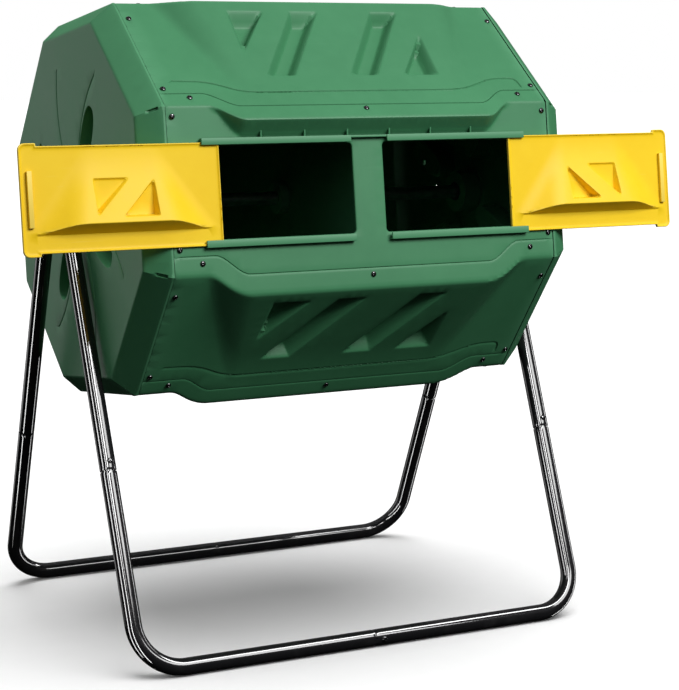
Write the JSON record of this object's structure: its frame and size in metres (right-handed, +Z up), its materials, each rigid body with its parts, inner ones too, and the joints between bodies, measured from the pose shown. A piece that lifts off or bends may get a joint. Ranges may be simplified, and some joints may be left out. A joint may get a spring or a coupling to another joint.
{
  "type": "compost tumbler",
  "caption": "Octagonal compost drum with two chambers and sliding doors, turning on an axle between bent-tube A-frame legs.",
  "frame": {"origin": "on the floor, below the middle of the tumbler with both doors open", "axes": "+X to the right along the axle, -Y towards the door side, +Z up"},
  "size_m": [1.024, 0.6032, 0.9258],
  "materials": {
    "drum_green": "moulded polypropylene, fine grain, satin",
    "door_yellow": "moulded polypropylene, satin",
    "tube_black": "gloss black powder coat on steel tube",
    "black_plastic": "satin black plastic",
    "zinc_steel": "bright zinc plate",
    "dark_screw": "black-passivated steel"
  },
  "bodies": {
    "stand": {"axle_tube": "zinc_steel", "axle_insert_left": "zinc_steel", "axle_insert_right": "zinc_steel", "axle_washer_left": "zinc_steel", "axle_washer_right": "zinc_steel", "axle_bolt_left": "zinc_steel", "axle_bolt_right": "zinc_steel", "upper_leg_front_left": "tube_black", "upper_leg_front_right": "tube_black", "upper_leg_rear_left": "tube_black", "upper_leg_rear_right": "tube_black", "lower_tube_front_left": "tube_black", "lower_tube_front_right": "tube_black", "lower_tube_rear_left": "tube_black", "lower_tube_rear_right": "tube_black", "leg_plug_front_left": "black_plastic", "leg_plug_front_right": "black_plastic", "leg_plug_rear_left": "black_plastic", "leg_plug_rear_right": "black_plastic", "leg_screw_front_left": "dark_screw", "leg_screw_front_right": "dark_screw", "leg_screw_rear_left": "dark_screw", "leg_screw_rear_right": "dark_screw", "bar_screw_front": "dark_screw", "bar_screw_rear": "dark_screw"},
    "drum": {"front_door_panel": "drum_green", "upper_front_panel": "drum_green", "top_panel": "drum_green", "upper_rear_panel": "drum_green", "rear_panel": "drum_green", "lower_rear_panel": "drum_green", "bottom_panel": "drum_green", "lower_front_panel": "drum_green", "end_cap_left": "drum_green", "end_cap_right": "drum_green", "centre_divider": "drum_green", "hub_bush_left": "black_plastic", "hub_bush_right": "black_plastic"},
    "left_door": {"door_left": "door_yellow"},
    "right_door": {"door_right": "door_yellow"}
  },
  "joints": [
    {"name": "drum_spin", "type": "hinge", "parent": "stand", "child": "drum", "pos_m": [0, 0.0035, 0.632], "axis": [1, 0, 0], "range_deg": [-215, 50]},
    {"name": "left_door_slide", "type": "slide", "parent": "drum", "child": "left_door", "axis": [1, 0, 0], "range_m": [0, 0.227]},
    {"name": "right_door_slide", "type": "slide", "parent": "drum", "child": "right_door", "axis": [-1, 0, 0], "range_m": [0, 0.227]}
  ]
}
